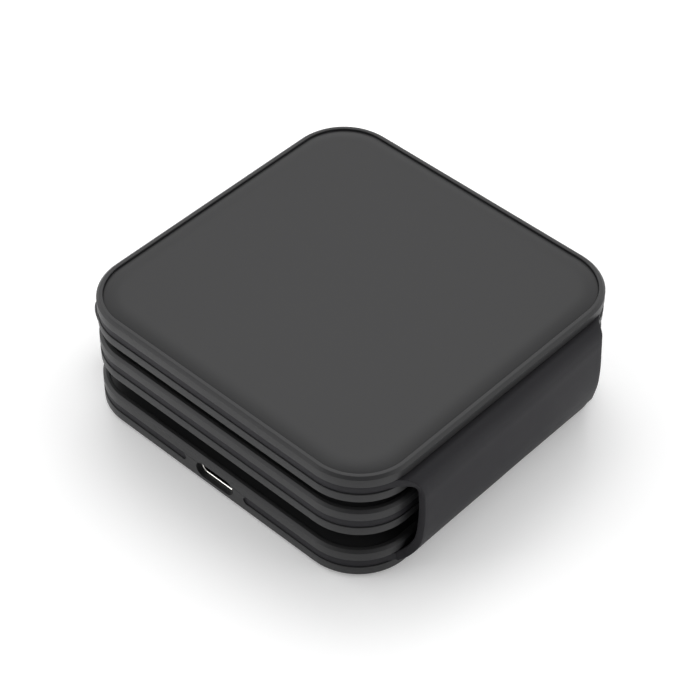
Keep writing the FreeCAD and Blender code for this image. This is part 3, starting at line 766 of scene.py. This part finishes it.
def make_long_strap():
    """The strap from the bottom pad up to the top pad, in two halves, and its ribbons."""
    root = HALF - STRAP_ROOT
    edge = HALF - BAND_RECESS
    points = [Vector(p) for p in (
        (root, BOTTOM_MID), (edge, BOTTOM_MID), (edge + 0.3, BOTTOM_MID + 0.08), (35.85, 3.9),
        (36.85, 5.4), (37.65, 7.6), (38.03, 9.8), (38.18, 12.6), (38.17, 15.2), (38.03, 17.8),
        (37.88, 19.7), (37.42, 21.1), (36.5, 21.72), (edge + 0.5, TOP_MID), (edge, TOP_MID),
        (root, TOP_MID))]
    halves_meet = 7 * CURVE_STEPS
    whole = through(points, CURVE_STEPS)
    lower, upper = whole[:halves_meet + 1], whole[halves_meet:]
    top_back = PADS["top"][1]
    tail = [Vector((FLEX_START, FLEX_LEVEL)), Vector((root, FLEX_LEVEL))]
    top_tail = [Vector((root, top_back - FLEX_LEVEL)), Vector((FLEX_START, top_back - FLEX_LEVEL))]
    low_bend = (("bottom_pad", "long_strap"), (35.2, 3.25), (38.0, 8.5))
    high_bend = (("top_pad", "long_strap"), (35.6, 21.85), (38.0, 19.3))
    bend(strap("long_strap_lower", lower, taper=0.8, wave=0.06), *low_bend,
         "silicone", ["long_strap"])
    bend(ribbon("long_strap_ribbon_lower", tail + lower[CURVE_STEPS:]), *low_bend,
         "flex_film", ["bottom_flex_right", "long_strap_flex"])
    bend(strap("long_strap_upper", upper, taper=0.8, wave=0.06), *high_bend,
         "silicone", ["long_strap"])
    bend(ribbon("long_strap_ribbon_upper", upper[:-CURVE_STEPS] + top_tail), *high_bend,
         "flex_film", ["top_flex", "long_strap_flex"])


def make_short_strap():
    """The strap's round loop from the bottom pad to the middle pad, and its ribbon."""
    root = -HALF + STRAP_ROOT
    knee = -HALF - 1.0
    bulge = 0.3
    turns = 32
    rise = (MIDDLE_MID - BOTTOM_MID) / 2
    centre = (MIDDLE_MID + BOTTOM_MID) / 2
    path = [Vector((root, BOTTOM_MID)), Vector((-HALF, BOTTOM_MID))]
    for step in range(turns + 1):
        angle = math.radians(-90 - 180 * step / turns)
        path.append(Vector((knee + (rise + bulge) * math.cos(angle),
                            centre + rise * math.sin(angle))))
    path += [Vector((-HALF, MIDDLE_MID)), Vector((root, MIDDLE_MID))]
    middle_back = PADS["middle"][1]
    tail = [Vector((-FLEX_START, FLEX_LEVEL)), Vector((root, FLEX_LEVEL))]
    middle_tail = [Vector((root, middle_back - FLEX_LEVEL)),
                   Vector((-FLEX_START, middle_back - FLEX_LEVEL))]
    loop_bend = (("bottom_pad", "middle_pad"), (knee, BOTTOM_MID), (knee, MIDDLE_MID))
    bend(strap("short_strap", path), *loop_bend,
         "silicone", ["short_strap_lower", "short_strap_upper"])
    bend(ribbon("short_strap_ribbon", tail + path[1:-1] + middle_tail), *loop_bend,
         "flex_film", ["bottom_flex_left", "middle_flex"])


# ---------------------------------------------------------------- the whole charger

band_tree = make_band_tree()
for pad in PADS:
    make_trays(pad)
    make_panels(pad)
    make_band(pad, band_tree)
make_socket_sleeve()
make_long_strap()
make_short_strap()

# the CAD pieces that stay visible get the same materials, by their slots
for row in frame["record"]["subparts"]:
    part = frame["nodes"][row["node"]]
    part.data.materials.clear()
    part.data.materials.append(MATERIALS[row["material_slot"]])


# ---------------------------------------------------------------- floor, light, camera

FLOOR_CLEARANCE = 0.0002


def make_floor():
    """A wide white card for the charger to stand on, a hair below it."""
    mesh = bmesh.new()
    bmesh.ops.create_grid(mesh, x_segments=1, y_segments=1, size=1.5)
    floor = finish_mesh("floor", mesh)
    material, tree, shader, place = new_material("white_card", Roughness=0.9,
                                                 Emission_Strength=0.18)
    fibre = node(tree, "ShaderNodeTexNoise", {"Vector": place, "Scale": 700.0, "Detail": 3.0})
    tree.links.new(ramp(tree, fibre.outputs["Fac"], (0.96, 0.96, 0.96), (0.98, 0.98, 0.98)),
                   shader.inputs["Base Color"])
    floor.data.materials.append(material)
    floor.location.z = cad_box[0].z - FLOOR_CLEARANCE


def make_light(name, place, target, size, power):
    """A square softbox in one place, turned to face another."""
    light = bpy.data.lights.new(name, "AREA")
    light.shape = "SQUARE"
    light.size, light.energy = size, power
    lamp = bpy.data.objects.new(name, light)
    scene.collection.objects.link(lamp)
    lamp.location = place
    lamp.rotation_euler = (Vector(target) - Vector(place)).to_track_quat("-Z", "Y").to_euler()


def make_world(strength, shaded):
    """A white surround that is dimmer high up on the front side, like an open studio."""
    world = bpy.data.worlds.new("studio")
    world.use_nodes = True
    tree = world.node_tree
    direction = node(tree, "ShaderNodeTexCoord").outputs["Generated"]
    front = node(tree, "ShaderNodeVectorMath", {0: direction, 1: (0.47, -0.52, 0.71)},
                 operation="DOT_PRODUCT")
    fade = node(tree, "ShaderNodeMapRange", {"Value": front.outputs["Value"],
                                             "From Min": 0.30, "From Max": 0.90,
                                             "To Min": strength, "To Max": shaded},
                interpolation_type="SMOOTHSTEP")
    tree.links.new(fade.outputs["Result"], tree.nodes["Background"].inputs["Strength"])
    tree.nodes["Background"].inputs["Color"].default_value = (1, 1, 1, 1)
    scene.world = world


def make_camera(azimuth, elevation, distance, target, side, up_shift, roll, lens):
    """A camera round the object at these angles in degrees, shifted sideways and up."""
    a, e, r = math.radians(azimuth), math.radians(elevation), math.radians(roll)
    back = Vector((math.sin(a) * math.cos(e), -math.cos(a) * math.cos(e), math.sin(e)))
    right = Vector((math.cos(a), math.sin(a), 0))
    up = back.cross(right)
    place = Vector(target) + back * distance + right * side + up * up_shift
    turned_right = right * math.cos(r) + up * math.sin(r)
    turned_up = up * math.cos(r) - right * math.sin(r)
    axes = Matrix((turned_right, turned_up, back)).transposed().to_4x4()
    data = bpy.data.cameras.new("camera")
    data.lens, data.sensor_width = lens, 36.0
    data.clip_start, data.clip_end = 0.01, 20.0
    camera = bpy.data.objects.new("camera", data)
    scene.collection.objects.link(camera)
    camera.matrix_world = Matrix.Translation(place) @ axes
    scene.camera = camera


make_floor()
make_world(strength=1.40, shaded=0.22)
make_light("back_softbox", (-0.36, 0.39, 0.80), (0, 0, 0.02), 0.46, 1.2)
make_light("left_softbox", (-0.42, -0.50, 0.14), (0, 0, 0.01), 0.34, 0.95)
make_light("right_softbox", (0.56, 0.14, 0.20), (0, 0, 0.01), 0.36, 0.45)
make_camera(azimuth=42.18, elevation=45.21, distance=0.4074, target=(0, 0, 0.01029),
            side=-0.000119, up_shift=-0.000603, roll=0.848, lens=115.9)
scene.view_settings.view_transform = "Standard"
